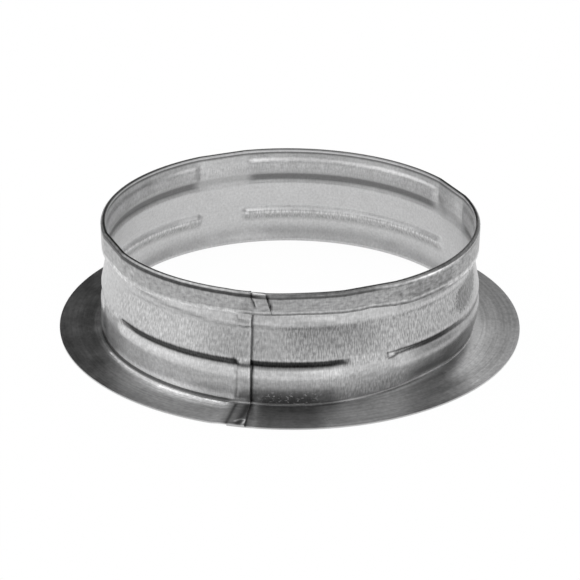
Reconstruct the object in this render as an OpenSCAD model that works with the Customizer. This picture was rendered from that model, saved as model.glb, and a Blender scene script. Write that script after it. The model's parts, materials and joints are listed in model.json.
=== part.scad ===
// Duct connector collar: one strip of galvanised sheet rolled into a ring, lap joined at the
// front, with an outward flange, a folded rim and two rows of interrupted beads pressed inwards.
// The origin is the middle of the flange's underside, and +Z points up through the ring.

/* [Sheet] */
// Thickness of the sheet
sheet_t = 0.5; // [0.4:0.05:0.8]

/* [Body] */
// Inside diameter of the duct that the collar slides into
duct_d = 125; // [100:1:200]
// Clearance between the duct and the collar's widest wall, on each side
duct_clearance = 0.4; // [0.2:0.05:1]
// Height from the flange's underside to the top of the rim
height = 37.2; // [36.1:0.1:60]
// Height at which the curve from the neck reaches the widest wall
barrel_h = 10; // [7.6:0.1:10.4]
// Radius of that curve, seen in section
barrel_r = 19; // [17:0.5:40]
// Height of the straight, widest wall above that curve
land_h = 8.6; // [7:0.1:10.5]

/* [Flange] */
// How far the flange stands out past the widest wall
flange_w = 13.9; // [12.5:0.1:25]
// Width of the flat ring round the outside of the flange
flange_flat_w = 5.5; // [4:0.1:6.5]
// How far the flange sweeps up from that ring to the neck
neck_lift = 1.2; // [0.6:0.1:1.5]
// Radius of the curve at the foot of that sweep, seen in section
sweep_bend = 25; // [15:1:30]
// Radius inside the bend between the flange and the neck
neck_bend = 0.6; // [0.4:0.05:1.5]

/* [Lower beads] */
// Height of the deepest line of the lower beads above the foot of the widest wall
lower_bead_rise = 3.2; // [3:0.1:4]
// Depth of the lower beads
lower_bead_depth = 1.1; // [0.7:0.05:1.5]
// Height of a lower bead, from edge to edge
lower_bead_h = 5; // [4:0.1:5.2]
// Radius inside the bends of the lower beads
lower_bead_bend = 0.7; // [0.4:0.05:1]
// Angle of the plain wall between two lower beads
lower_gap = 13; // [6:0.5:20]

/* [Upper beads] */
// Drop from the top of the rim to the crease where the wall leans in under the upper beads
crease_drop = 11.1; // [10.1:0.1:13]
// How far the wall has leaned in at that crease
crease_step = 0.75; // [0.4:0.05:0.9]
// Drop from the top of the rim to the lower edge of the flat inside the upper beads
upper_land_drop = 7; // [6.2:0.1:8]
// Height of that flat
upper_land_h = 2.3; // [1.5:0.1:2.8]
// Depth of the upper beads below the rim's inner wall
upper_bead_depth = 1.1; // [0.7:0.05:1.5]
// Height of the slope from that flat back out to the rim's wall
upper_slope_h = 1; // [0.7:0.05:1.2]
// Radius inside the bends of the upper beads
upper_bead_bend = 0.5; // [0.3:0.05:0.7]
// Angle of the plain wall between two upper beads
upper_gap = 16; // [8:0.5:20]

/* [Bead pattern] */
// Number of beads in each row
bead_count = 4; // [3:1:6]
// Direction of the middle of the first gap, anticlockwise from +X
first_gap_angle = 23.8; // [14:0.1:40]
// Length of the ramp at each end of a bead
ramp_len = 1.8; // [1:0.1:3]

/* [Rim] */
// How far the rim's outer face lies inside the widest wall
rim_step = 1.1; // [1:0.05:1.6]
// Height of the flap folded down outside the rim
hem_h = 6.5; // [4:0.1:6.8]
// Gap between the flap and the wall behind it
hem_gap = 0.1; // [0.06:0.01:0.2]

/* [Lap seam] */
// Direction of the outer sheet's cut edge, anticlockwise from +X
lap_angle = -101.2; // [-104:0.1:-99]
// Overlap of the two ends of the strip
lap_w = 4.2; // [3:0.1:6]
// How far the folded rim reaches past the cut edge of the wall
lap_tab_w = 4.2; // [2:0.1:6]
// Depth of the lower bead where it crosses the lap
lap_bead_depth = 0.5; // [0.3:0.05:0.65]
// How far the doubled flange edge stands out at the lap
lap_proud = 0.3; // [0.1:0.05:0.6]
// Lean of the doubled wall's outer face, from upright
lap_lean = 0.15; // [0.1:0.05:0.25]
// Lean of the slits in the folded rim, from upright
slit_lean = 15; // [0:1:25]
// Width of the slit in the folded rim
slit_w = 0.3; // [0.2:0.05:0.5]
// Plain height left under that slit
slit_foot = 1.4; // [0.8:0.1:2]

/* [Hidden] */
$fn = 180;
metal = [0.7, 0.71, 0.72];
bend_step = 16;
barrel_step = 3;
fold_step = 30;
reach = 1;
bury = 0.15;
half_t = sheet_t / 2;

body_r = duct_d / 2 - duct_clearance;
body_mid = body_r - half_t;
flange_r = body_r + flange_w;
crease_mid = body_mid - crease_step;
rim_r = body_r - rim_step;
flap_mid = rim_r - half_t;
hem_pitch = sheet_t + hem_gap;
rim_mid = flap_mid - hem_pitch;
fold_c = [(rim_mid + flap_mid) / 2, height - half_t - hem_pitch / 2];
flap_end_z = height - hem_h;
upper_land_mid = rim_mid - upper_bead_depth;
upper_land_z = height - upper_land_drop;
upper_land_top_z = upper_land_z + upper_land_h;
upper_top_z = upper_land_top_z + upper_slope_h;
bead_pitch = 360 / bead_count;

land_top_z = barrel_h + land_h;
lower_bead_z = barrel_h + lower_bead_rise;
crease_z = height - crease_drop;

// Neck bend and barrel curve: two arcs that touch where the wall turns from one into the other.
neck_r = neck_bend + half_t;
neck_z = half_t + neck_lift + neck_r;
neck_rise = barrel_h - neck_z;
neck_c = [body_mid - barrel_r + sqrt(pow(barrel_r + neck_r, 2) - pow(neck_rise, 2)), neck_z];
barrel_c = [body_mid - barrel_r, barrel_h];
barrel_turn = asin(neck_rise / (barrel_r + neck_r));

// Turn of the sweep whose slope runs on, straight, into the neck bend.
sweep_c = [flange_r - flange_flat_w, half_t + sweep_bend];
bend_gap = sweep_bend - neck_r;
sweep_span = [sweep_c[0] - neck_c[0], bend_gap - neck_lift];
sweep_turn = atan2(sweep_span[0], sweep_span[1]) - acos(bend_gap / norm(sweep_span));

lap_turn = lap_w / body_r * 180 / PI;
lap_tab_turn = lap_tab_w / body_r * 180 / PI;

// A point at radius r and angle a about the point c.
function polar(r, a, c = [0, 0]) = c + r * [cos(a), sin(a)];

// Points of an arc about c, from angle a to angle b.
function arc(c, r, a, b, step) =
    let (n = max(1, ceil(abs(b - a) / step)))
    [for (i = [0 : n]) polar(r, a + (b - a) * i / n, c)];

function unit(v) = v / norm(v);
function xy(c) = [c[0], c[1]];
function reversed(list) = [for (i = [len(list) - 1 : -1 : 0]) list[i]];

// Arc that rounds the corner p between a and b, with its radius limited by its two sides.
function rounded_corner(a, p, b, radius) =
    let (
        u = unit(a - p),
        v = unit(b - p),
        half = acos(u * v) / 2,
        tangent = min(radius / tan(half), norm(a - p) / 2, norm(b - p) / 2),
        r = tangent * tan(half),
        c = p + unit(u + v) * r / sin(half),
        start = p + u * tangent - c,
        turn = (180 - 2 * half) * sign(cross(p - a, b - p)),
        from = atan2(start[1], start[0])
    )
    arc(c, r, from, from + turn, bend_step);

// Path through corners given as [radius, height, bend], with each bend rounded.
function rounded(corners) =
    let (last = len(corners) - 1)
    [for (i = [0 : last])
        let (p = corners[i])
        each (i == 0 || i == last || p[2] == 0
            ? [xy(p)]
            : rounded_corner(xy(corners[i - 1]), xy(p), xy(corners[i + 1]), p[2]))];

// Path moved by d towards its right-hand side.
function shifted(path, d) =
    let (
        last = len(path) - 1,
        normals = [for (i = [0 : last - 1])
            let (s = unit(path[i + 1] - path[i]))
            [s[1], -s[0]]]
    )
    [for (i = [0 : last])
        let (a = normals[max(i - 1, 0)], b = normals[min(i, last - 1)])
        path[i] + (a + b) * d / (1 + a * b)];

// Point at radius r on the line through p and q.
function point_at(p, q, r) = p + (q - p) * (r - p[0]) / (q[0] - p[0]);

// Part of a list from its item n on.
function tail(list, n) = [for (i = [n : len(list) - 1]) list[i]];

// Flange of the given radius, up to the end of the sweep's curve.
function flange_path(r) = concat(
    [[r, half_t]],
    arc(sweep_c, sweep_bend, 270, 270 - sweep_turn, barrel_step)
);

// Neck bend and barrel curve, shared by the wall and the lap.
neck_path = concat(
    arc(neck_c, neck_r, 270 - sweep_turn, 180 - barrel_turn, bend_step),
    arc(barrel_c, barrel_r, -barrel_turn + barrel_step, 0, barrel_step)
);
foot = concat(flange_path(flange_r), neck_path);

// Middle of the sheet between two beads, from the flange's edge to the end of the folded flap.
wall_path = concat(
    foot,
    rounded([
        [body_mid, barrel_h + bury, 0],
        [body_mid, land_top_z, barrel_r],
        [crease_mid, crease_z, barrel_r / 4],
        [rim_mid, upper_land_z, barrel_r / 4],
        [rim_mid, fold_c[1] - bury, 0]
    ]),
    arc(fold_c, hem_pitch / 2, 180, 0, fold_step),
    [[flap_mid, flap_end_z]]
);

// Corners and rounded path of the middle of the sheet across a lower bead of the given depth.
function lower_bead_corners(depth) = [
    [body_mid, lower_bead_z - lower_bead_h / 2, lower_bead_bend + half_t],
    [body_mid - depth, lower_bead_z, lower_bead_bend + half_t],
    [body_mid, lower_bead_z + lower_bead_h / 2, lower_bead_bend + half_t]
];
function lower_bead_path(depth) = rounded([
    [body_mid, lower_bead_z - lower_bead_h, 0],
    each lower_bead_corners(depth),
    [body_mid, lower_bead_z + lower_bead_h, 0]
]);

// Middle of the sheet across an upper bead, run on past the wall at both ends.
upper_lean = unit([crease_mid - upper_land_mid, crease_z - upper_land_z]);
upper_rise = unit([upper_bead_depth, upper_slope_h]);
function upper_bead_path(run) = rounded([
    concat([crease_mid, crease_z] + upper_lean * run, 0),
    [upper_land_mid, upper_land_z, upper_bead_bend + half_t],
    [upper_land_mid, upper_land_top_z, upper_bead_bend + half_t],
    concat([rim_mid, upper_top_z] + upper_rise * run, 0)
]);

// Middle of the sheet at the lap, with a lower bead of the given depth, up to the folded rim.
function lap_path(depth) = concat(foot, rounded([
    [body_mid, barrel_h + bury, 0],
    each lower_bead_corners(depth),
    [body_mid, land_top_z, barrel_r],
    [crease_mid, crease_z, barrel_r / 4],
    [upper_land_mid, upper_land_z, upper_bead_bend + half_t],
    [upper_land_mid, upper_land_top_z, upper_bead_bend + half_t],
    [rim_mid, upper_top_z, upper_bead_bend + half_t],
    [rim_mid, fold_c[1] - hem_pitch, 0]
]));

// Middle of the folded rim's sheet from the top of the fold to the end of the flap.
hem_path = concat(
    [polar(hem_pitch / 2, 90, fold_c) - [hem_pitch / 2, 0]],
    arc(fold_c, hem_pitch / 2, 90, 0, fold_step),
    [[flap_mid, flap_end_z]]
);

// Section turned right round, starting in the first gap.
module turned() {
    rotate([0, 0, first_gap_angle])
        rotate_extrude()
            children();
}

// Flange, neck, wall and folded rim.
module wall() {
    turned()
        polygon(concat(shifted(wall_path, half_t), reversed(shifted(wall_path, -half_t))));
}

// Plan of the sectors that hold beads, each with a ramp of the given depth at both ends.
module bead_sectors(r, depth, gap) {
    ramp_turn = ramp_len / r * 180 / PI;
    for (i = [0 : bead_count - 1]) {
        from = first_gap_angle + i * bead_pitch + gap / 2;
        to = from + bead_pitch - gap;
        a = [polar(r, from), polar(r - depth, from + ramp_turn)];
        b = [polar(r, to), polar(r - depth, to - ramp_turn)];
        linear_extrude(height)
            polygon([
                2 * a[0] - a[1],
                a[0],
                2 * a[1] - a[0],
                polar(r - 4 * depth, from + 2 * ramp_turn),
                polar(r / 2, (from + to) / 2),
                polar(r - 4 * depth, to - 2 * ramp_turn),
                2 * b[1] - b[0],
                b[0],
                2 * b[0] - b[1],
                polar(2 * r, to),
                polar(2 * r, (from + to) / 2),
                polar(2 * r, from)
            ]);
    }
}

// Ridges that the beads raise inside the wall, solid out to the middle of the sheet.
module ridges() {
    lower = shifted(lower_bead_path(lower_bead_depth), -half_t);
    upper = shifted(upper_bead_path(bury), -half_t);
    intersection() {
        bead_sectors(body_mid - half_t, lower_bead_depth, lower_gap);
        turned()
            polygon([
                [body_mid, lower[1][1]],
                for (i = [1 : len(lower) - 2]) lower[i],
                [body_mid, lower[len(lower) - 2][1]]
            ]);
    }
    intersection() {
        bead_sectors(rim_mid - half_t, upper_bead_depth, upper_gap);
        turned()
            polygon(concat(upper, [[rim_mid, upper_top_z], [rim_mid, upper_land_z]]));
    }
}

// Hollows that the beads leave outside the wall, the upper ones open behind the folded flap.
module hollows() {
    lower = shifted(lower_bead_path(lower_bead_depth), half_t);
    upper = shifted(upper_bead_path(reach), half_t);
    slot_r = rim_mid + half_t + hem_gap / 2;
    inner = [for (p = upper) if (p[0] < slot_r || p[1] < upper_land_z) p];
    out_r = body_r + reach;
    intersection() {
        bead_sectors(body_r, lower_bead_depth, lower_gap);
        turned()
            polygon([
                [out_r, lower[1][1]],
                for (i = [1 : len(lower) - 2]) lower[i],
                [out_r, lower[len(lower) - 2][1]]
            ]);
    }
    intersection() {
        bead_sectors(rim_mid + half_t, upper_bead_depth, upper_gap);
        turned()
            polygon(concat(inner, [
                point_at(inner[len(inner) - 1], upper[len(upper) - 1], slot_r),
                [slot_r, flap_end_z - bury],
                [out_r, flap_end_z - bury],
                [out_r, inner[0][1]]
            ]));
    }
}

// Doubled sheet where one end of the strip lies over the other. The wall swells by half a sheet
// on each side, and the flange by a whole sheet on top, because its underside stays plain.
module lap() {
    edge = flange_path(flange_r + lap_proud);
    over = shifted(concat(edge, [neck_path[0]]), half_t + sheet_t);
    outer = shifted(lap_path(lap_bead_depth), sheet_t);
    inner = shifted(lap_path(lower_bead_depth), -sheet_t);
    rotate([0, 0, lap_angle - lap_turn])
        rotate_extrude(angle = lap_turn)
            polygon(concat(
                [for (i = [0 : len(edge) - 1]) over[i]],
                [for (p = tail(outer, len(edge))) p - [(p[1] - barrel_h) * tan(lap_lean), 0]],
                reversed(concat(edge, tail(inner, len(edge))))
            ));
}

// End of the outer sheet's folded rim, lying over the other end and cut off at a lean.
module rim_tab() {
    lean_w = hem_h * tan(slit_lean);
    tab_turn = lap_turn + lap_tab_turn + 2 * lean_w / body_r * 180 / PI;
    difference() {
        rotate([0, 0, lap_angle - lap_turn])
            rotate_extrude(angle = tab_turn)
                polygon(concat(
                    shifted(hem_path, bury - half_t),
                    reversed(shifted(hem_path, -half_t - sheet_t))
                ));
        rotate([0, 0, lap_angle])
            translate([0, lap_tab_w, height])
                rotate([slit_lean, 0, 0])
                    translate([rim_mid - reach, 0, -2 * hem_h])
                        cube([2 * flange_w, 2 * hem_h, 4 * hem_h]);
    }
}

// Leaning slit in the folded rim, above the cut edge of the wall.
module rim_slit() {
    rotate([0, 0, lap_angle])
        translate([rim_r, 0, height + sheet_t])
            rotate([slit_lean, 0, 0])
                translate([0, 0, slit_foot - hem_h])
                    cube([2 * reach, slit_w, 2 * hem_h]);
}

module collar() {
    color(metal)
        difference() {
            union() {
                difference() {
                    union() {
                        wall();
                        ridges();
                    }
                    hollows();
                }
                lap();
                rim_tab();
            }
            rim_slit();
        }
}

collar();
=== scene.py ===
# Duct connector collar: one strip of galvanised sheet, rolled into a ring and lapped at the front left.
# Lengths are millimetres and angles degrees until the mesh is made. An angle of 0 faces the viewer,
# and it grows anticlockwise seen from above.
import bpy
import json
import math
import numpy as np
from mathutils import Matrix, Vector


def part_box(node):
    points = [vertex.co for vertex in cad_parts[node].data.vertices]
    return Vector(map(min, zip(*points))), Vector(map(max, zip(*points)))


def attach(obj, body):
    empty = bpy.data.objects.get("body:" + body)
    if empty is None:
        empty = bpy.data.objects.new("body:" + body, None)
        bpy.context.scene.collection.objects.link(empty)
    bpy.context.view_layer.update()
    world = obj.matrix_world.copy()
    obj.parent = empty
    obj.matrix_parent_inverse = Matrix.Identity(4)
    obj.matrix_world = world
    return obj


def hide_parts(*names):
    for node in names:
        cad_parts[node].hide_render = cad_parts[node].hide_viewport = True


print("Loading the packed collar")
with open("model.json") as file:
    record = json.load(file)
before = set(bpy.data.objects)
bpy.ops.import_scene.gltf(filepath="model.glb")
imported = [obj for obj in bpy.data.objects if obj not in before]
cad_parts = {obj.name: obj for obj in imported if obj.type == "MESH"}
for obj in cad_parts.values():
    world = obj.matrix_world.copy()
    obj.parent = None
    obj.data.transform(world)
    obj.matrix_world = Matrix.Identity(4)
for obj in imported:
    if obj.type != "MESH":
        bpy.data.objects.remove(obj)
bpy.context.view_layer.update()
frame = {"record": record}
cadLow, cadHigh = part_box("collar")
metre = 0.001
mounts = {m["name"]: m["dims"] for m in frame["record"]["mounts"]}

# What the photograph's view was worked out to be, with the camera aimed at the middle of the flange
photoView = {
    "imageSide": 580,
    "focalPixels": 1762.8,
    "sensor": 36,
    "distance": 586.9,
    "elevation": 25.949,
    "pitch": 0.870,
    "roll": 0.409,
}


def addCamera(view):
    # The camera stands on a circle over the front, looks at the origin, then tips up and rolls
    rise = math.radians(view["elevation"])
    pitch = math.radians(view["pitch"])
    roll = math.radians(view["roll"])
    place = Vector((0, -math.cos(rise), math.sin(rise))) * view["distance"] * metre
    forward = -place.normalized()
    right = Vector((1, 0, 0))
    up = right.cross(forward)
    forward = forward * math.cos(pitch) + up * math.sin(pitch)
    up = right.cross(forward)
    turnedRight = right * math.cos(roll) + up * math.sin(roll)
    turnedUp = up * math.cos(roll) - right * math.sin(roll)
    lens = bpy.data.cameras.new("photoCamera")
    lens.sensor_width = view["sensor"]
    lens.lens = view["focalPixels"] / view["imageSide"] * view["sensor"]
    lens.clip_start = 0.01
    lens.clip_end = 50
    camera = bpy.data.objects.new("photoCamera", lens)
    axes = Matrix((turnedRight, turnedUp, -forward)).transposed()
    camera.matrix_world = Matrix.Translation(place) @ axes.to_4x4()
    bpy.context.scene.collection.objects.link(camera)
    bpy.context.scene.camera = camera


addCamera(photoView)

# The strip's section and pattern. Heights are above the flange's underside.
strip = {
    "sheet": 0.5,
    "height": cadHigh.z / metre,
    "flangeRadius": cadHigh.x / metre,
    "wallRadius": mounts["duct_spigot"]["r_mm"],
    "wallBulge": 0.15,
    "flatWidth": 5.5,
    "sweepBend": 25,
    "neckLift": 1.2,
    "neckBend": 0.6,
    "barrelHeight": 10,
    "barrelBend": 19,
    "rimStep": 1.1,
    "hemGap": 0.1,
    "rimSink": 0.55,
    "crownBend": 0.2,
    "crownSlant": 45,
    "crownRun": 0.7,
    "shoulderBend": 0.25,
    "bendSoftness": 0.5,
    "flareOut": 1.5,
    "flareDown": 1.15,
    "flareTurns": (-122, -98, 5, 48),
}
# Middle radius of the wall by height: plain between two beads, and pressed where an upper bead is
plainSection = ((0, 62.0), (13.8, 62.0), (23.6, 60.2), (26.2, 60.4), (29.2, 60.05), (40, 60.15))
pressedSection = ((0, 62.0), (13.8, 62.0), (18.4, 61.0), (24.3, 59.75), (26.5, 60.3), (29.1, 59.25),
                  (32.9, 59.5), (33.6, 59.95), (35.5, 60.15), (40, 60.15))
# Where the flap ends: angle and height, between which the cut wanders by a little
flapEdge = ((-180, 29.2), (-95, 28.6), (-55, 28.6), (-38, 29.0), (-16, 30.0), (2.9, 30.4), (20.7, 29.9), (22.7, 30.2),
            (29, 29.6), (36.2, 29.0), (52, 29.1), (90, 28.4), (180, 29.2))
beads = {
    "gapMiddles": (23.4, 114.4, -156.1, -66.2),
    "lowerHead": 15.4,
    "lowerHeight": 12.7,
    "lowerFoot": 10.0,
    "lowerDepth": 1.1,
    "lowerGap": 12.6,
    "lowerEnd": 3.2,
    "upperGap": 15.6,
    "upperEnd": 3.2,
    "creaseEnd": 5,
    "softness": 0.55,
    "chordHalf": 7.9,
    "chordFoot": 24,
    "chordHead": 31,
}
# The hidden end starts the strip, and the cut end in front closes it after a whole turn and the lap
lap = {
    "hiddenEnd": -15.0,
    "cutEnd": -10.9,
    "spread": 0.26,
    "riseTurn": 3.4,
    "edgeProud": 0.3,
    "tabTurn": 3.9,
    "tabLean": 15,
    "tabOut": 0.34,
    "rimDrop": 0.4,
    "rimDropTurn": 17,
}
meshDetail = {"columns": 430, "flangeRows": 10, "sweepRows": 7, "slopeRows": 6, "neckRows": 9,
              "barrelRows": 8, "wallRows": 54, "foldRows": 10, "crownRows": 2, "flapRows": 13}

# How light the metal is by zone, much of it painted light and shade: face, range of turn, range of place, each with
# its softness, and the lightness.
# Place is the height on the wall, minus the distance outside the wall on the flange, and 60 more than the
# distance from the start of the rim's fold beyond it. The outer face is 0 and the inner face 1, but past the
# fold the visible face is 1.
paintedLightAndToneZones = {
    "outside": (0, (-400, 400, 1), (12.6, 40, 0.8), 0.9),
    # Darker stretches of the outer wall between the beads, and painted shade along the front of the crease under the
    # upper bead
    "handledFront": (0, (-24, 27, 6), (15.6, 26.2, 0.6), 0.78),
    "handledRight": (0, (27, 84, 6), (15.6, 26.2, 0.6), 0.88),
    "rubbedPatch": (0, (2, 24, 6), (18.5, 26, 1.5), 0.8),
    "frontCrease": (0, (-2, 20, 6), (22.4, 26.0, 0.8), 0.86),
    "dirtyRight": (0, (57, 75, 6), (15.6, 26, 2), 0.9),
    # Painted shade on the lower wall, darker towards the flange
    "lowerRight": (0, (37, 72, 5), (3, 13, 1), 0.66),
    "lowerFront": (0, (-10, 14, 4), (0.1, 6.2, 1.8), 0.32),
    # A darker patch at the front of the foot
    "footFront": (0, (14, 34, 6), (0.1, 6, 1.5), 0.86),
    # Painted shade low on the wall and in the neck's crease
    "neckRight": (0, (36, 78, 6), (2.3, 6, 1.5), 0.62),
    "neckLeft": (0, (-80, -15, 3), (0.33, 1.4, 0.12), 0.16),
    # Painted highlight low on the left side
    "sideCatch": (0, (-76, -64, 4), (10.5, 13.5, 1), 1.25),
    # Painted shade in the neck's crease at the front
    "neckFront": (0, (-11, 16, 5), (0.33, 1.5, 0.12), 0.4),
    "neckFrontRight": (0, (16, 42, 6), (0.9, 2.0, 0.15), 0.5),
    # Painted shade in the groove's foot and at its end
    "grooveFoot": (0, (-10, 13, 3), (12.0, 13.8, 0.4), 0.5),
    "grooveFootLeft": (0, (-57, -16, 3), (12.5, 13.8, 0.35), 0.6),
    "grooveEnd": (0, (12, 17, 1.2), (13.5, 15.2, 0.4), 0.42),
    # Painted shade low on the wall at the lap
    "lowerLap": (0, (-27, -11, 5), (0.1, 5.2, 1.8), 0.72),
    # Painted reflection and shade: the flange's darker and lighter stretches round the turn, with a painted highlight
    # at its front right
    "flangeLeft": (0, (-130, -45, 9), (-14, -2.5, 0.7), 0.6),
    "flangeFrontLeft": (0, (-45, -17, 9), (-14, -5.2, 1.5), 0.54),
    "flangeLap": (0, (-15.5, 8, 2), (-14, -0.8, 0.5), 0.38),
    "flangeFront": (0, (8, 24, 4), (-14, -0.6, 0.5), 0.58),
    "flangeFrontRight": (0, (24, 50, 4), (-14, -0.6, 0.5), 0.72),
    "flangeCatch": (0, (39, 53, 6), (-13.5, -8, 1.5), 1.35),
    "flangeSide": (0, (66, 84, 6), (-13, -3, 1), 0.86),
    "flangeRight": (0, (84, 220, 6), (-14, -0.6, 0.5), 0.68),
    "flangeEdge": (0, (-400, 400, 1), (-15, -13.4, 0.2), 0.95),
    # Painted shade: a dark band inside below the upper bead, strongest where the bead is
    "inBand": (1, (-400, 400, 1), (25.6, 28.2, 0.6), 0.42),
    "inBandTop": (1, (-400, 400, 1), (26.0, 29.6, 0.8), 0.7),
    # Painted shade under the lower bead's ridge, and painted highlights along the ridge, the land and the rim
    "inFoot": (1, (-400, 400, 1), (9.5, 12.3, 0.6), 0.82),
    "inLowerLine": (1, (-400, 400, 1), (12.8, 15.2, 0.3), 1.26),
    "inLand": (1, (-400, 400, 1), (30.8, 32.8, 0.4), 1.14),
    "inUpperLine": (1, (-400, 400, 1), (32.8, 33.7, 0.3), 1.12),
    "inRim": (1, (-400, 400, 1), (33.9, 35.2, 0.4), 1.15),
    # Painted shade lines along the rim's inner edge, the fold and its shoulder, a painted highlight over the fold, and
    # a painted highlight on the shoulder at the front right
    "inEdgeLine": (1, (96, 264, 8), (35.3, 36.1, 0.12), 0.42),
    "foldInside": (1, (-400, 400, 1), (36.15, 59, 0.05), 1.3),
    "foldInnerLine": (1, (-12, 84, 3), (60.2, 60.52, 0.05), 0.2),
    "foldBackLine": (1, (84, 348, 3), (60.02, 60.55, 0.05), 0.18),
    "foldLeft": (1, (-180, -16, 3), (60.6, 61.15, 0.1), 0.8),
    "foldRight": (1, (-16, 180, 3), (60.7, 60.95, 0.08), 0.5),
    "foldFront": (1, (-4, 24, 4), (60.6, 61.3, 0.1), 0.6),
    "foldShoulderLeft": (1, (-180, -7, 3), (61.15, 62.0, 0.1), 0.12),
    "foldShoulderRight": (1, (-7, 26, 3), (61.3, 62.2, 0.2), 0.4),
    "foldShoulderCatch": (1, (27, 48, 5), (61.25, 61.6, 0.1), 2.0),
    "foldShoulderSide": (1, (60, 180, 8), (61.3, 62.2, 0.2), 0.4),
    "foldShoulderFront": (1, (-9, 40, 6), (61.2, 62.0, 0.15), 0.4),
    "flapLeft": (1, (-130, -15, 5), (61.9, 67.2, 0.3), 0.63),
    "flapFront": (1, (-15, 34, 5), (61.9, 67.2, 0.3), 0.58),
    "flapFrontRight": (1, (34, 56, 4), (61.9, 67.2, 0.3), 0.45),
    "flapRight": (1, (56, 230, 4), (61.9, 67.2, 0.3), 0.52),
    "flapEdge": (1, (-14, 51, 2), (67.7, 70, 0.06), 0.35),
}
# How strong the fine marks are by zone, read in the same way: upright grain, streaks along the turn and specks
grains = {
    "outside": (0, (-400, 400, 1), (1, 40, 1), 0.25),
    "frontRight": (0, (-4, 62, 6), (15.4, 26.5, 0.8), 0.85),
    "frontLeft": (0, (-62, -4, 6), (15.4, 24.5, 0.8), 0.6),
    "groove": (0, (-400, 400, 1), (12.8, 15.4, 0.3), 0.8),
    "underGroove": (0, (4, 34, 4), (3, 12, 2), 0.45),
    "flap": (1, (-400, 400, 1), (61.6, 72, 0.4), 0.25),
    "inside": (1, (-400, 400, 1), (1, 40, 1), 0.1),
    "inScallops": (1, (-400, 400, 1), (10.2, 13.4, 0.5), 0.6),
    "inLand": (1, (-400, 400, 1), (28.8, 32.8, 0.5), 0.3),
    "footFront": (0, (12, 36, 5), (1.5, 7, 1), 0.7),
}
streaks = {
    "flange": (0, (-400, 400, 1), (-15, -0.8, 0.4), 1.0),
    "fold": (1, (-400, 400, 1), (60, 62, 0.3), 0.5),
    "flap": (1, (-400, 400, 1), (62, 72, 0.3), 0.35),
}
mottles = {
    "outside": (0, (-400, 400, 1), (1, 40, 1), 0.4),
    "flange": (0, (-400, 400, 1), (-15, -0.8, 0.4), 0.5),
    "fold": (1, (-400, 400, 1), (60.1, 61.6, 0.1), 0.8),
    "flap": (1, (-400, 400, 1), (61.6, 72, 0.4), 0.8),
    "flapRight": (1, (22, 80, 8), (61.6, 72, 0.4), 1.25),
    "inLand": (1, (-400, 400, 1), (28.8, 36, 0.5), 0.3),
}
specks = {
    "underGroove": (0, (-7, 7, 4), (1.2, 4.6, 0.8), 0.9),
}
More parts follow.
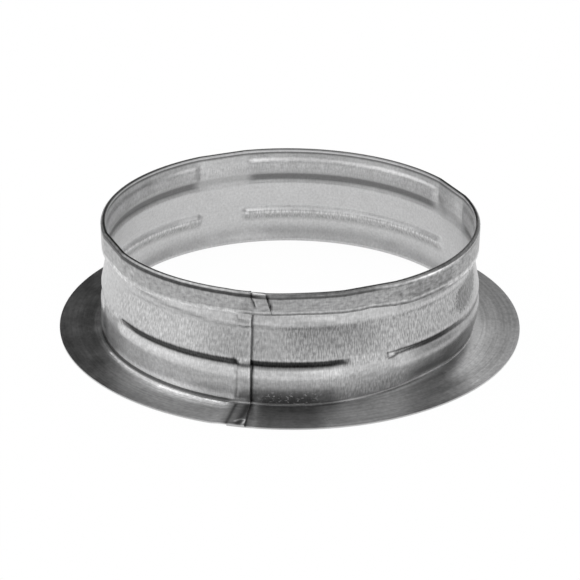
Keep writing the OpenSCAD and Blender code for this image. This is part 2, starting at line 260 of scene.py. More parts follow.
# Lines on the unrolled strip: face, points of turn and place, half width, lightness, and how far they are pressed in.
# The sheet on top at the lap has turns near 349 and the one below near -11.
strokes = {
    "slitA": (1, ((349.3, 60.2), (349.6, 62.6), (350.0, 63.6), (350.4, 65.2)), 0.42, 0.05, 0.3),
    # Painted highlight on the slit's edge
    "slitALight": (1, ((350.1, 62.4), (350.9, 65.4)), 0.26, 1.7, 0),
    "tabGap": (1, ((-6.3, 61.2), (-5.05, 66.1)), 0.42, 0.01, 0.1),
    "spot": (1, ((346.7, 66), (348, 66)), 1.5, 0.78, 0),
    "notchUpper": (0, ((344.9, 28.4), (345.2, 27.2), (348.6, 27.0)), 0.4, 0.6, 0.3),
    "notchLower": (0, ((345.8, 25.4), (347, 24.9), (348.6, 25.4)), 0.36, 0.6, 0.2),
    # Painted shade in the crease at the lap
    "creaseLine": (0, ((-10, 25.8), (-5.2, 25.8)), 0.22, 0.35, 0.1),
    "seamUpper": (0, ((-10.6, 29), (-10.6, 12)), 0.42, 0.16, 0.1),
    "seamLower": (0, ((-10.5, 12), (-10.65, 1)), 0.62, 0.04, 0.1),
    # Painted highlight along the seam
    "seamLight": (0, ((348.75, 28), (348.75, 3)), 0.2, 1.3, 0),
    "grooveBlob": (0, ((344.3, 15), (345.2, 13.3)), 0.7, 0.3, 0.2),
    "hiddenEdge": (0, ((345.5, 12), (345.2, 2.4)), 0.35, 0.6, 0.1),
    # Painted highlight at the cut end
    "cutLight": (0, ((349.5, -2.2), (349.8, -3.6)), 0.4, 2.2, 0),
    "imprint": (0, ((345.6, -2.5), (345.9, -13.9)), 0.45, 0.3, 0),
    "wedge": (0, ((348.9, -2.5), (348.5, -13.5)), 1.0, 0.3, 0),
    # Painted highlight on a dent in the flange by the cut end
    "hook": (0, ((347.6, -12.2), (348.8, -10.6), (349.8, -11), (349.5, -13.4)), 0.3, 5.0, 0),
    "cutEdge": (0, ((-10.6, -0.5), (-9.8, -14)), 0.3, 0.2, 0),
    # Painted highlights along the flange by the cut, on the sweep, at the neck and at the groove's end at the lap
    "afterCut": (0, ((-9.2, -1.5), (-8.2, -13)), 1.1, 1.9, 0),
    "lapLight": (0, ((346.6, -3), (346.7, -12)), 0.8, 1.3, 0),
    "sweepLight": (0, ((296, -1.0), (343, -1.7)), 1.0, 1.9, 0),
    "neckLight": (0, ((-9, -0.9), (10, -0.6), (30, 0.4), (60, 1.0)), 0.45, 1.5, 0),
    "sweepGlow": (0, ((322, -2.4), (343, -3.6)), 1.5, 1.35, 0),
    "grooveTab": (0, ((346, 14), (348.3, 13.6)), 0.45, 2.2, 0),
    # Painted shade and a painted highlight in a gap inside
    "gapDark": (1, ((118.5, 26), (120.5, 29.5)), 1.8, 0.8, 0),
    "gapLight": (1, ((108.5, 28.5), (110, 32)), 2.2, 1.2, 0),
    "flapSpot": (1, ((32, 63.9), (33.2, 65.6)), 0.8, 0.62, 0),
    "flapDash": (1, ((38.5, 66.5), (44, 66.2)), 0.45, 0.66, 0),
    "flapSmear": (1, ((48, 66.5), (54, 66.0)), 0.5, 0.62, 0),
    "frontBlot": (0, ((-2, -3.4), (8, -3.8)), 1.0, 0.7, 0),
    "frontBlotTwo": (0, ((2, -9.5), (14, -10)), 1.6, 0.8, 0),
    "cornerMark": (1, ((295.5, 67.3), (303.7, 67.5), (306.3, 66.4), (307.9, 63.5)), 0.35, 1.45, 0.1),
    "dottedCrease": (0, ((307.2, 28), (320, 26.9), (334.6, 26)), 0.5, 0.55, 0.1),
    # Painted shadow under the front of the crease, and the groove's tongue as a painted highlight inside a painted
    # dark outline
    "softCrease": (0, ((2, 27), (12, 26.9)), 0.5, 0.75, 0),
    "tongueTop": (0, ((28.4, 14.7), (42, 14.6)), 0.24, 0.3, 0),
    "tongueEnd": (0, ((28.4, 14.7), (28.2, 13.6), (29, 12.9)), 0.28, 0.35, 0),
    "tongueFoot": (0, ((29, 12.9), (33, 13.2), (40, 14.3)), 0.28, 0.4, 0),
    "tongue": (0, ((29.3, 13.9), (34, 14)), 0.45, 1.5, 0),
    # Painted highlight at the neck under the lap
    "neckPiece": (0, ((345.6, -0.8), (348, -0.8)), 0.7, 2.4, 0),
}
# Dull blotches, whose edges the noise of the zinc frays: face, turn, place, half turn, half height, lean
blotches = {
    "leaf": (0, 67.5, 21.8, 8.6, 4.8, 0.9),
}

half = strip["sheet"] / 2
wallMid = strip["wallRadius"] + strip["wallBulge"] - half
rimMid = strip["wallRadius"] - strip["rimStep"] - strip["sheet"] - strip["hemGap"] - half
crownHeight = strip["height"] - strip["rimSink"] - half - strip["crownBend"]


def smooth(x, low, high):
    # 0 below low, 1 above high, and a cubic ease between them
    t = np.clip((x - low) / (high - low), 0, 1)
    return t * t * (3 - 2 * t)


def bump(x, middle, width):
    # A bell that is 1 at the middle and about a third at one width from it
    return np.exp(-((x - middle) / width) ** 2)


def turnTo(angle, middle):
    # Signed turn from a direction to an angle, between -180 and 180
    return (angle - middle + 180) % 360 - 180


def softened(shape, x, window):
    # The mean of a shape over a window, which rounds its corners as a press does
    steps = np.linspace(-1, 1, 9)
    return sum(shape(x + window * step) for step in steps) / len(steps)


def sectionRows():
    # The section between two beads, as rows of radius and height from the flange's edge to the flap's end:
    # flat ring, arc of the sweep, straight slope, neck arc, barrel arc, wall, slanted crown and flap
    neckRadius = strip["neckBend"] + half
    neckHeight = half + strip["neckLift"] + neckRadius
    neckRise = strip["barrelHeight"] - neckHeight
    barrelMiddle = wallMid - strip["barrelBend"]
    neckMiddle = barrelMiddle + math.sqrt((strip["barrelBend"] + neckRadius) ** 2 - neckRise ** 2)
    barrelTurn = math.asin(neckRise / (strip["barrelBend"] + neckRadius))
    sweepMiddle = strip["flangeRadius"] - strip["flatWidth"]
    bendGap = strip["sweepBend"] - neckRadius
    across = sweepMiddle - neckMiddle
    down = bendGap - strip["neckLift"]
    sweepTurn = math.atan2(across, down) - math.acos(bendGap / math.hypot(across, down))

    def arc(r, z, radius, start, end, count):
        turn = np.linspace(start, end, count)
        return np.stack([r + radius * np.cos(turn), z + radius * np.sin(turn)], -1)

    quarter = math.pi / 2
    flat = np.stack([np.linspace(strip["flangeRadius"], sweepMiddle, meshDetail["flangeRows"]),
                     np.full(meshDetail["flangeRows"], half)], -1)
    sweep = arc(sweepMiddle, half + strip["sweepBend"], strip["sweepBend"],
                -quarter, -quarter - sweepTurn, meshDetail["sweepRows"])
    neck = arc(neckMiddle, neckHeight, neckRadius,
               -quarter - sweepTurn, -2 * quarter - barrelTurn, meshDetail["neckRows"])
    slope = np.linspace(sweep[-1], neck[0], meshDetail["slopeRows"] + 2)[1:-1]
    barrel = arc(barrelMiddle, strip["barrelHeight"], strip["barrelBend"],
                 -barrelTurn, 0, meshDetail["barrelRows"])
    wallZ = wallHeights()
    wall = np.stack([profile(plainSection, wallZ, strip["bendSoftness"]), wallZ], -1)
    slant = math.radians(strip["crownSlant"])
    crown = arc(rimMid + strip["crownBend"], crownHeight, strip["crownBend"], 2 * quarter, quarter - slant,
                meshDetail["foldRows"] // 2)
    shoulder = arc(0, 0, strip["shoulderBend"], quarter - slant, 0, meshDetail["foldRows"] // 2)
    downhill = np.array([math.cos(slant), -math.sin(slant)]) * strip["crownRun"]
    shoulder = shoulder - shoulder[0] + crown[-1] + downhill
    fold = np.concatenate([crown, np.linspace(crown[-1], shoulder[0], meshDetail["crownRows"] + 2)[1:-1], shoulder])
    flapZ = np.linspace(fold[-1, 1], flapEdge[0][1], meshDetail["flapRows"] + 1)[1:]
    flap = np.stack([np.full(len(flapZ), fold[-1, 0]), flapZ], -1)
    parts = [flat, sweep[1:], slope, neck, barrel[1:], wall, fold, flap]
    rows = np.concatenate(parts)
    starts = np.cumsum([0] + [len(p) for p in parts])
    return rows, starts


def wallHeights():
    # Rows crowd where the section bends most: over the groove and from the crease to the rim
    fine = np.linspace(strip["barrelHeight"], crownHeight, 3000)
    need = 1 + 2.2 * bump(fine, 14.6, 1.1) + 0.8 * bump(fine, 24.5, 1.5) + 1.4 * bump(fine, 28.7, 1.0) \
        + 1.4 * bump(fine, 33.3, 0.7) + 2.5 * bump(fine, 36.2, 0.5)
    total = np.concatenate([[0], np.cumsum((need[1:] + need[:-1]) / 2)])
    return np.interp(np.linspace(0, total[-1], meshDetail["wallRows"]), total, fine)[1:-1]


def profile(section, z, window):
    # Radius at a height, read along a section's corners and softened
    heights, radii = np.array(section).T
    return softened(lambda h: np.interp(h, heights, radii), z, window)


def upperDepth(z):
    # How far inside the plain wall an upper bead lies
    return profile(plainSection, z, strip["bendSoftness"]) - profile(pressedSection, z, beads["softness"])


def lowerDepth(angle, z):
    # A groove with a short steep upper flank and a long lower one, whose outline closes in a curve at each end
    above = (z - beads["lowerHeight"]) / (beads["lowerHead"] - beads["lowerHeight"])
    below = (z - beads["lowerHeight"]) / (beads["lowerHeight"] - beads["lowerFoot"])
    rise = np.where(above > 0, above, below)
    past = pastEnd(angle, beads["lowerGap"], beads["lowerEnd"])
    reach = np.sqrt(rise ** 2 + past ** 2)
    shallow = 1 - 0.5 * smooth(angle, 52, 66) * (1 - smooth(angle, 96, 110))
    width = 0.2
    depth = softened(lambda q: np.clip(1 - np.abs(q), 0, None), reach, width)
    return beads["lowerDepth"] * shallow * depth / (1 - width / 2)


def pastEnd(angle, gap, endLength):
    # 0 along a bead's straight part, growing to 1 where the gap starts
    result = np.zeros_like(angle)
    for middle in beads["gapMiddles"]:
        arcLength = np.abs(turnTo(angle, middle)) * math.pi / 180 * strip["wallRadius"]
        edge = gap / 2 * math.pi / 180 * strip["wallRadius"]
        result = np.maximum(result, (edge + endLength - arcLength) / endLength)
    return np.clip(result, 0, None)


def chordDip(angle, radius):
    # Between its bead ends the ring is a straight chord, which lies inside the circle
    halfTurn = math.radians(beads["chordHalf"])
    dip = np.zeros_like(angle)
    for middle in beads["gapMiddles"]:
        turn = np.radians(turnTo(angle, middle))
        chord = radius * (1 - math.cos(halfTurn) / np.cos(np.clip(turn, -halfTurn, halfTurn)))
        dip = dip + np.where(np.abs(turn) < halfTurn, chord, 0)
    return dip


def columnAngles():
    # Columns crowd where a running total of need grows fast: at the beads' ends and at the lap
    start, end = lap["hiddenEnd"], 360 + lap["cutEnd"]
    fine = np.linspace(start, end, 8000)
    need = np.ones_like(fine)
    for middle in beads["gapMiddles"]:
        away = np.abs(turnTo(fine, middle))
        need += 3.5 * bump(away, 7.5, 2.6)
    for middle in (start, end):
        need += 7 * bump(fine, middle, 5)
    total = np.concatenate([[0], np.cumsum((need[1:] + need[:-1]) / 2)])
    return np.interp(np.linspace(0, total[-1], meshDetail["columns"]), total, fine)


def nearLine(points, angle, place):
    # Distance in millimetres from the nearest of the segments between the points, on the unrolled strip
    perDegree = strip["wallRadius"] * math.pi / 180
    nearest = np.full(angle.shape, 1e3)
    for (turnA, placeA), (turnB, placeB) in zip(points, points[1:]):
        acrossB, upB = (turnB - turnA) * perDegree, placeB - placeA
        across, up = (angle - turnA) * perDegree, place - placeA
        share = np.clip((across * acrossB + up * upB) / (acrossB ** 2 + upB ** 2), 0, 1)
        nearest = np.minimum(nearest, np.hypot(across - share * acrossB, up - share * upB))
    return nearest


def stripSurface():
    # Every column starts as the plain section. Beads, chords, the lap and small dents move its points,
    # and the sheet's two faces are half a thickness to each side along the surface normal.
    rows, starts = sectionRows()
    columns = columnAngles()
    count, rowCount = len(columns), len(rows)
    angle = np.repeat(columns[:, None], rowCount, 1)
    radius = np.repeat(rows[None, :, 0], count, 0)
    height = np.repeat(rows[None, :, 1], count, 0)
    index = np.arange(rowCount)
    flangeShare = np.where(index < starts[3], 1.0, 0.0)
    onHem = index >= starts[6]
    crown = starts[6] + meshDetail["foldRows"] // 2
    onTab = index >= crown
    onWall = (index >= starts[4]) & (index < starts[6])

    # Along the left and the front the foot of the wall is spread outwards and pressed down on the flange
    bearing = turnTo(angle, 0)
    flareTurns = strip["flareTurns"]
    flare = smooth(bearing, *flareTurns[:2]) * (1 - smooth(bearing, *flareTurns[2:]))
    onFlange = index < starts[3]
    outFoot = np.where(onFlange, 1 - smooth(radius, 62.5, 68.5), 1 - smooth(height, 1.5, 8.5))
    downFoot = strip["flareDown"] * (1 - smooth(height, 2, 9))
    height = height - flare * np.where(onFlange, (height - half) * 0.95, downFoot)
    radius = radius + flare * strip["flareOut"] * outFoot

    # Shifts of the two ends: the hidden end's rim is cut back to the lap, and the cut end's rim runs on as a tab
    nearStart = 1 - smooth(columns, lap["hiddenEnd"], lap["hiddenEnd"] + 11)
    nearEnd = smooth(columns, 360 + lap["cutEnd"] - 5, 360 + lap["cutEnd"])
    cutBack = lap["cutEnd"] - lap["hiddenEnd"] + 0.3
    lean = (strip["height"] - height[0]) * math.tan(math.radians(lap["tabLean"])) / strip["wallRadius"] * 180 / math.pi
    angle = angle + nearStart[:, None] * np.where(onHem, cutBack, 0)[None, :]
    angle = angle + nearEnd[:, None] * np.where(onTab, lap["tabTurn"] + lean, 0)[None, :]
    flangeRun = np.clip((radius[0] - 62) / 14, 0, 1) * flangeShare
    angle = angle + (nearStart + nearEnd)[:, None] * flangeRun[None, :] * 0.9

    # Beads and chords
    wallAngle = angle
    landMask = 1 - smooth(pastEnd(wallAngle, beads["upperGap"], beads["upperEnd"]), 0, 1)
    creaseMask = 1 - smooth(pastEnd(wallAngle, beads["upperGap"], beads["creaseEnd"]), 0, 1)
    upperMask = creaseMask + (landMask - creaseMask) * smooth(height, 26, 28)
    radius = radius - onWall * upperMask * upperDepth(height)
    onFlap = index >= starts[7]
    edgeAngles, edgeHeights = np.array(flapEdge).T
    edge = np.interp(turnTo(angle[:, -1:], 0), edgeAngles, edgeHeights)
    down = (height - rows[starts[7] - 1, 1]) / (rows[-1, 1] - rows[starts[7] - 1, 1])
    height = height + onFlap * down * (edge - rows[-1, 1])
    run = np.concatenate([[0], np.cumsum(np.hypot(*np.diff(rows, axis=0).T))])
    place = np.where(onHem, 60 + run - run[starts[6]], height)
    place = np.where(index < starts[3], strip["wallRadius"] - radius, place)
    flattened = 1 - 0.6 * smooth(angle, 345.0, 346.0)
    groove = lowerDepth(wallAngle, height) * flattened
    radius = radius - onWall * groove
    for _, points, width, _, press in strokes.values():
        radius = radius - press * bump(nearLine(points, angle, place), 0, width * 1.3) * (place > 2)
    rimShare = smooth(height, beads["chordFoot"], beads["chordHead"]) * (index >= starts[4])
    radius = radius - rimShare * chordDip(wallAngle, rimMid)

    # The lap: the outer end rises by half a sheet on the wall and a whole one on the flange
    endLift = smooth(columns, 360 + lap["hiddenEnd"] - lap["riseTurn"], 360 + lap["hiddenEnd"])[:, None]
    startDip = (1 - smooth(columns, lap["cutEnd"], lap["cutEnd"] + lap["riseTurn"]))[:, None]
    outward = endLift * lap["spread"] - startDip * lap["spread"]
    tabRun = smooth(angle, 360 + lap["cutEnd"] - 0.6, 360 + lap["cutEnd"] + 0.6) * onTab
    wallLike = 1 - flangeShare
    radius = radius + wallLike * outward + tabRun * lap["tabOut"]
    height = height + flangeShare * endLift * (strip["sheet"] + 0.02)
    nearHem = np.where(onHem, 1, onWall * smooth(height, 31, crownHeight))
    drop = (1 - smooth(angle, lap["cutEnd"] + 2, lap["cutEnd"] + lap["rimDropTurn"])) * nearHem
    height = height - drop * lap["rimDrop"] * (angle < 90)
    edgeRun = np.clip((radius - strip["flangeRadius"] + 3) / 3, 0, 1) * flangeShare
    radius = radius + edgeRun * endLift * lap["edgeProud"]

    # Normals from the two tangents, each the mean of the directions to its two neighbours
    def tangent(u, v, w, axis):
        step = np.stack([np.diff(u, axis=axis), np.diff(v, axis=axis), np.diff(w, axis=axis)], -1)
        step = step / np.linalg.norm(step, axis=-1, keepdims=True)
        first = np.take(step, [0], axis)
        last = np.take(step, [-1], axis)
        return np.concatenate([first, step], axis) + np.concatenate([step, last], axis)

    upTangent = tangent(radius, np.zeros_like(radius), height, 1)
    aroundLength = np.radians(angle) * radius.mean()
    aroundTangent = tangent(radius, aroundLength, height, 0)
    normal = np.cross(aroundTangent, upTangent)
    normal = normal / np.linalg.norm(normal, axis=-1, keepdims=True)

    def placed(offset):
        # From radius, angle and height to x, y and z, with angle 0 towards the viewer
        turn = np.radians(angle)
        r = radius + offset * normal[..., 0]
        side = offset * normal[..., 1]
        z = height + offset * normal[..., 2]
        x = r * np.sin(turn) + side * np.cos(turn)
        y = -r * np.cos(turn) + side * np.sin(turn)
        return np.stack([x, y, z], -1)

    faces = np.stack([placed(half), placed(-half)])
    # Painted shade for the groove's foot: where the groove is deep enough, above its lower line, with breaks along the
    # turn. It darkens the colour in surfaceMarks.
    point = 2 * (1 - smooth(bearing, -58, -49)) * (bearing < 0)
    groove = smooth(groove / beads["lowerDepth"], 0.04, 0.3) * smooth(height - point, 11.8, 13.2) * onWall
    groove = groove * (1 - 0.8 * smooth(angle, 11, 17) * (1 - smooth(angle, 20, 24)))
    groove = groove * (1 - 0.9 * smooth(angle, 26, 28) * (1 - smooth(angle, 33, 44)))
    groove = groove * (1 - 0.85 * smooth(angle, 48, 64) * (1 - smooth(angle, 112, 120)))
    ridge = 1 - smooth(pastEnd(angle, beads["lowerGap"], beads["lowerEnd"]), 0, 1)
    return faces, angle, place, groove, creaseMask * onWall, ridge


def zoned(zones, angle, place):
    # Each zone is a window over turn and place, 1 inside and eased to 0 outside
    for name, (side, turns, places, value) in zones.items():
        low, high, soft = turns
        middle = (low + high) / 2
        bearing = turnTo(angle, middle) + middle if high - low < 360 else angle
        window = smooth(bearing, low - soft, low + soft) * (1 - smooth(bearing, high - soft, high + soft))
        low, high, soft = places
        window = window * smooth(place, low - soft, low + soft) * (1 - smooth(place, high - soft, high + soft))
        yield name, side, window, value


def surfaceMarks(angle, place, groove, bead, ridge):
    # The lightness is a product over the zones, the groove's painted shade and the strokes, much of it painted light
    # and shade; the fine marks are the strongest zone's, for both faces
    tone = np.ones((2,) + angle.shape)
    for name, side, window, value in zoned(paintedLightAndToneZones, angle, place):
        # The inside band's painted shade is strongest where the upper bead is
        if name in ("inBand", "inBandTop"):
            window = window * (0.35 + 0.65 * bead)
        # The painted highlight and shade of the lower bead follow its sectors
        if name in ("inLowerLine", "inFoot"):
            window = window * ridge
        tone[side] *= 1 + (value - 1) * window
    # Painted shade in the groove's foot on the outer face
    tone[0] *= 1 - 0.8 * groove
    for side, points, width, value, _ in strokes.values():
        tone[side] *= 1 + (value - 1) * bump(nearLine(points, angle, place), 0, width)
    marks = {"tone": tone}
    for name, zones in (("grain", grains), ("streak", streaks), ("mottle", mottles), ("speck", specks)):
        strength = np.zeros_like(tone)
        for _, side, window, value in zoned(zones, angle, place):
            if zones is grains and side == 1 and value == grains["inScallops"][-1]:
                window = window * ridge
            strength[side] = np.maximum(strength[side], value * window)
        marks[name] = strength
    marks["blotch"] = np.zeros_like(tone)
    for side, turn, middle, halfTurn, halfPlace, lean in blotches.values():
        sideways = turnTo(angle, turn) - lean * (place - middle)
        reach = np.hypot(sideways / halfTurn, (place - middle) / halfPlace)
        marks["blotch"][side] = np.maximum(marks["blotch"][side], 1 - reach / 2)
    marks["turn"] = np.stack([angle, angle])
    marks["place"] = np.stack([place, place + 200])
    return marks


def shellMesh(name, faces, marks):
    # Two grids of the same size, joined along their four edges into one closed shell
    sides, count, rowCount, _ = faces.shape
    number = np.arange(sides * count * rowCount).reshape(sides, count, rowCount)
    front, back = number

    def quads(a, b, c, d):
        return np.stack([a.ravel(), b.ravel(), c.ravel(), d.ravel()], -1)

    def edge(f, b):
        return quads(f[:-1], b[:-1], b[1:], f[1:])

    polygons = np.concatenate([
        quads(front[:-1, :-1], front[1:, :-1], front[1:, 1:], front[:-1, 1:]),
        quads(back[:-1, :-1], back[:-1, 1:], back[1:, 1:], back[1:, :-1]),
        edge(front[:, 0], back[:, 0]),
        edge(back[:, -1], front[:, -1]),
        edge(back[0], front[0]),
        edge(front[-1], back[-1]),
    ])
    mesh = bpy.data.meshes.new(name)
    mesh.vertices.add(number.size)
    mesh.vertices.foreach_set("co", (faces.reshape(-1, 3) * metre).astype(np.float32).ravel())
    mesh.loops.add(polygons.size)
    mesh.loops.foreach_set("vertex_index", polygons.astype(np.int32).ravel())
    mesh.polygons.add(len(polygons))
    mesh.polygons.foreach_set("loop_start", np.arange(0, polygons.size, 4, dtype=np.int32))
    mesh.polygons.foreach_set("loop_total", np.full(len(polygons), 4, np.int32))
    mesh.update(calc_edges=True)
    mesh.validate()
    for mark, values in marks.items():
        layer = mesh.attributes.new(mark, "FLOAT", "POINT")
        layer.data.foreach_set("value", values.astype(np.float32).ravel())
    mesh.polygons.foreach_set("use_smooth", np.ones(len(polygons), bool))
    mesh.set_sharp_from_angle(angle=math.radians(50))
    return mesh


class Socket:
    # Wraps a node's output so that a sum or a product of sockets adds the Math node for it
    def __init__(self, tree, output):
        self.tree = tree
        self.output = output

    def math(self, operation, *values):
        node = self.tree.nodes.new("ShaderNodeMath")
        node.operation = operation
        for slot, value in zip(node.inputs, values):
            if isinstance(value, Socket):
                self.tree.links.new(value.output, slot)
            else:
                slot.default_value = value
        return Socket(self.tree, node.outputs[0])

    def __add__(self, other): return self.math("ADD", self, other)
    def __radd__(self, other): return self.math("ADD", other, self)
    def __sub__(self, other): return self.math("SUBTRACT", self, other)
    def __rsub__(self, other): return self.math("SUBTRACT", other, self)
    def __mul__(self, other): return self.math("MULTIPLY", self, other)
    def __rmul__(self, other): return self.math("MULTIPLY", other, self)
    def __pow__(self, other): return self.math("POWER", self, other)


class Shader:
    # One material's node tree. node() takes a type, its settings, and its sockets' values or links.
    def __init__(self, name):
        self.material = bpy.data.materials.new(name)
        self.material.use_nodes = True
        self.tree = self.material.node_tree
        self.tree.nodes.clear()

    def node(self, kind, settings=None, output=0, **sockets):
        made = self.tree.nodes.new("ShaderNode" + kind)
        for key, value in (settings or {}).items():
            setattr(made, key, value)
        for key, value in sockets.items():
            slot = made.inputs[int(key[1:])] if key[0] == "i" and key[1:].isdigit() else made.inputs[key.replace("_", " ")]
            if isinstance(value, Socket):
                self.tree.links.new(value.output, slot)
            else:
                slot.default_value = value
        return Socket(self.tree, made.outputs[output]) if made.outputs else None


# Spots per millimetre and strengths of the marks in the zinc
zinc = {
    "color": (0.612, 0.612, 0.614),
    "cloudSize": 7,
    "cloudDepth": 0.1,
    "spotSize": 0.9,
    "spotDepth": 0.16,
    "grainAcross": 0.36,
    "grainAlong": 2.0,
    "grainDepth": 0.56,
    "streakAcross": 0.7,
    "streakAlong": 30,
    "streakDepth": 0.3,
    "speckSize": 1.1,
    "mottleDepth": 1.1,
    "blotchDepth": 0.42,
    "chalk": 0.8,
    "roughness": 0.34,
    "roughSpread": 0.1,
    "bump": 0.35,
}


def galvanisedSteel(z):
    steel = Shader("galvanisedSteel")

    def mark(name):
        return steel.node("Attribute", {"attribute_name": name}, output=2)

    turn, place = mark("turn"), mark("place")
    across = turn * (strip["wallRadius"] * math.pi / 180)

    def noise(width, height, detail, **more):
        # Noise over the unrolled strip, with cells of a width along the turn and a height along the section
        spot = steel.node("CombineXYZ", X=across * (1 / width), Y=place * (1 / height))
        return steel.node("TexNoise", {"noise_dimensions": "2D"}, Vector=spot, Scale=1.0, Detail=detail, **more)

    def ramp(value, low, high, top=1.0):
        return steel.node("MapRange", {"interpolation_type": "SMOOTHSTEP"}, Value=value, From_Min=low, From_Max=high,
                          To_Max=top)

    clouds = noise(z["cloudSize"], z["cloudSize"], 3.0)
    spots = noise(z["spotSize"], z["spotSize"], 2.0)
    grain = noise(z["grainAcross"], z["grainAlong"], 1.5)
    streak = noise(z["streakAlong"], z["streakAcross"], 3.0)
    fleck = ramp(grain, 0.36, 0.64)
    dark = 1 - (fleck - 0.3) * mark("grain") * z["grainDepth"]
    bright = noise(z["speckSize"], z["speckSize"] * 0.6, 1.0)
    blotch = ramp(mark("blotch") + (spots - 0.5) * 0.55 + (grain - 0.5) * 0.25, 0.46, 0.54)
    lines = 1 + (streak - 0.5) * mark("streak") * (2 * z["streakDepth"])
    mottle = noise(1.9, 1.1, 3.0)
    lines = lines * (1 + (mottle - 0.5) * mark("mottle") * z["mottleDepth"])
    cloudy = 1 + (clouds - 0.5) * (2 * z["cloudDepth"]) + (spots - 0.5) * (2 * z["spotDepth"])
    # The lightness carries the painted light and shade along with the zinc's own marks
    light = mark("tone") * dark * lines * cloudy * (1 - blotch * z["blotchDepth"] * (0.7 + fleck * 0.5))
    light = light + ramp(bright, 0.63, 0.7) * mark("speck") * 0.8
    color = steel.node("VectorMath", {"operation": "SCALE"}, i0=z["color"], Scale=light)
    rough = z["roughness"] + (clouds - 0.5) * (2 * z["roughSpread"]) + blotch * 0.08
    relief = fleck * mark("grain") * -0.6 + spots * 0.2
    normal = steel.node("Bump", Strength=z["bump"], Distance=0.00008, Height=relief)
    # Where the lightness passes 1.2, from painted highlights and bright scuffs, the metal turns partly matt
    metallic = 1 - ramp(light, 1.2, 2.6, z["chalk"])
    surface = steel.node("BsdfPrincipled", Base_Color=color, Metallic=metallic, Roughness=rough, Normal=normal)
    steel.node("OutputMaterial", Surface=surface)
    return steel.material


print("Shaping the strip")
faces, *zoneFields = stripSurface()
marks = surfaceMarks(*zoneFields)
collar = bpy.data.objects.new("collarStrip", shellMesh("collarStrip", faces, marks))
bpy.context.scene.collection.objects.link(collar)
collar.data.materials.append(galvanisedSteel(zinc))
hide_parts("collar")
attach(collar, "root")

# Metres and degrees. Round the table stands a tent that only mirrors see, dim but for its glows.
studio = {
    "floorRadius": 4,
    "floorColor": 0.86,
    "airStrength": 1.0,
    "tentRadius": 1.6,
    "tentDim": 0.05,
    "glows": {
        "left": {"azimuth": -78, "elevation": 20, "core": 14, "reach": 54, "strength": 1.15},
        "right": {"azimuth": 54, "elevation": 26, "core": 10, "reach": 48, "strength": 0.95},
        "front": {"azimuth": 0, "elevation": 22, "core": 12, "reach": 46, "strength": 0.75},
        "behind": {"azimuth": 148, "elevation": 34, "core": 5, "reach": 32, "strength": 0.75},
        "above": {"azimuth": -100, "elevation": 72, "core": 12, "reach": 30, "strength": 0.8},
    },
    "lamps": {
        "topLamp": {"place": (-0.2, 0.1, 1.3), "size": 1.1, "power": 4},
    },
}


def stagePiece(name, points, polygons, shader):
    mesh = bpy.data.meshes.new(name)
    mesh.from_pydata(points.tolist(), [], polygons)
    mesh.materials.append(shader.material)
    piece = bpy.data.objects.new(name, mesh)
    bpy.context.scene.collection.objects.link(piece)
    return piece


def addFloor(s):
    # A wide disc. The camera sees it nearly white all over, with a little of the shadow left near the collar, and
    # every other ray sees it half matt and half white.
    turn = np.linspace(0, 2 * math.pi, 97)[:-1]
    points = np.stack([np.cos(turn), np.sin(turn), turn * 0], -1) * s["floorRadius"]
    paint = Shader("floorPaint")
    matt = paint.node("BsdfDiffuse", Color=(s["floorColor"],) * 3 + (1,))
    white = paint.node("Emission", Color=(1, 1, 1, 1), Strength=1.0)
    place = paint.node("TexCoord", output=3)
    away = paint.node("VectorMath", {"operation": "LENGTH"}, output=1, i0=place)
    far = paint.node("MapRange", {"interpolation_type": "SMOOTHSTEP"}, Value=away, From_Min=0.08, From_Max=0.16)
    camera = paint.node("LightPath", output=0)
    mirrored = paint.node("LightPath", output=3).math("MAXIMUM", paint.node("LightPath", output=6))
    share = (mirrored * far).math("MAXIMUM", camera * (0.97 + 0.03 * far))
    mixed = paint.node("MixShader", i0=share, i1=matt, i2=white)
    paint.node("OutputMaterial", Surface=mixed)
    stagePiece("floor", points, [list(range(len(points)))], paint)


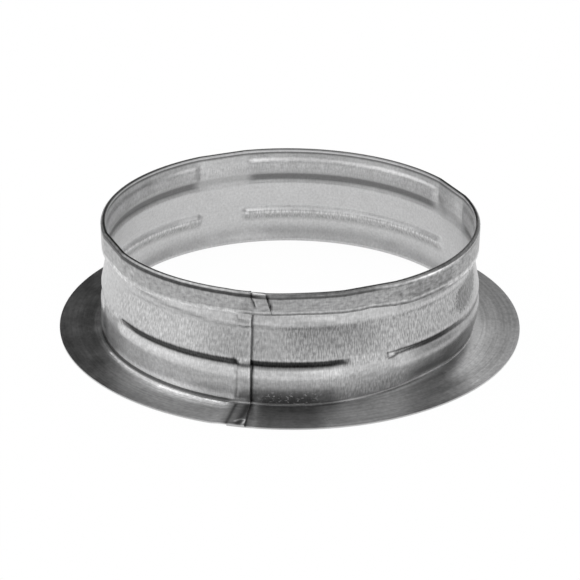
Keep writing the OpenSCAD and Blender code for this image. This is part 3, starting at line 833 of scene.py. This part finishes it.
def addTent(s):
    # A dome of cloth. Its brightness is a sum of round glows, each full in its core and eased out to its reach.
    turn, rise = np.meshgrid(np.radians(np.arange(0, 360, 6)), np.radians(np.arange(0, 90, 6)), indexing="ij")
    ring = np.stack([np.sin(turn) * np.cos(rise), -np.cos(turn) * np.cos(rise), np.sin(rise)], -1)
    number = np.arange(turn.size).reshape(turn.shape)
    ahead = np.roll(number, -1, 0)
    quads = np.stack([number[:, :-1], number[:, 1:], ahead[:, 1:], ahead[:, :-1]], -1).reshape(-1, 4)
    polygons = quads.tolist() + [number[:, -1].tolist()]
    cloth = Shader("tentCloth")
    way = cloth.node("VectorMath", {"operation": "NORMALIZE"}, i0=cloth.node("TexCoord", output=3))
    brightness = s["tentDim"]
    for glow in s["glows"].values():
        azimuth, elevation = math.radians(glow["azimuth"]), math.radians(glow["elevation"])
        aim = (math.sin(azimuth) * math.cos(elevation), -math.cos(azimuth) * math.cos(elevation), math.sin(elevation))
        near = cloth.node("VectorMath", {"operation": "DOT_PRODUCT"}, output=1, i0=way, i1=aim)
        lit = cloth.node("MapRange", {"interpolation_type": "SMOOTHSTEP"}, Value=near,
                         From_Min=math.cos(math.radians(glow["reach"])),
                         From_Max=math.cos(math.radians(glow["core"])), To_Max=glow["strength"])
        brightness = brightness + lit
    light = cloth.node("Emission", Color=(1, 1, 1, 1), Strength=brightness)
    cloth.node("OutputMaterial", Surface=light)
    tent = stagePiece("tent", ring.reshape(-1, 3) * s["tentRadius"], polygons, cloth)
    tent.visible_camera = False
    tent.visible_shadow = False
    tent.visible_diffuse = False


def addWorld(s):
    # White to the camera, in mirrors and for everything matt, all at the same strength
    world = bpy.data.worlds.new("studioAir")
    bpy.context.scene.world = world
    world.use_nodes = True
    tree = world.node_tree
    tree.nodes.clear()
    background = tree.nodes.new("ShaderNodeBackground")
    background.inputs["Color"].default_value = (1, 1, 1, 1)
    path = tree.nodes.new("ShaderNodeLightPath")
    seen = Socket(tree, path.outputs["Is Camera Ray"]).math("MAXIMUM", Socket(tree, path.outputs["Is Glossy Ray"]))
    seen = seen.math("MAXIMUM", Socket(tree, path.outputs["Is Transmission Ray"]))
    strength = s["airStrength"] + seen * (1 - s["airStrength"])
    tree.links.new(strength.output, background.inputs["Strength"])
    out = tree.nodes.new("ShaderNodeOutputWorld")
    tree.links.new(background.outputs[0], out.inputs["Surface"])


def addLamp(name, s):
    lamp = bpy.data.lights.new(name, "AREA")
    lamp.shape = "DISK"
    lamp.size = s["size"]
    lamp.energy = s["power"]
    holder = bpy.data.objects.new(name, lamp)
    place = Vector(s["place"])
    holder.matrix_world = Matrix.Translation(place) @ (-place).to_track_quat("-Z", "Y").to_matrix().to_4x4()
    bpy.context.scene.collection.objects.link(holder)


print("Setting the studio")
addFloor(studio)
addTent(studio)
addWorld(studio)
for name, settings in studio["lamps"].items():
    addLamp(name, settings)
bpy.context.scene.view_settings.view_transform = "Standard"
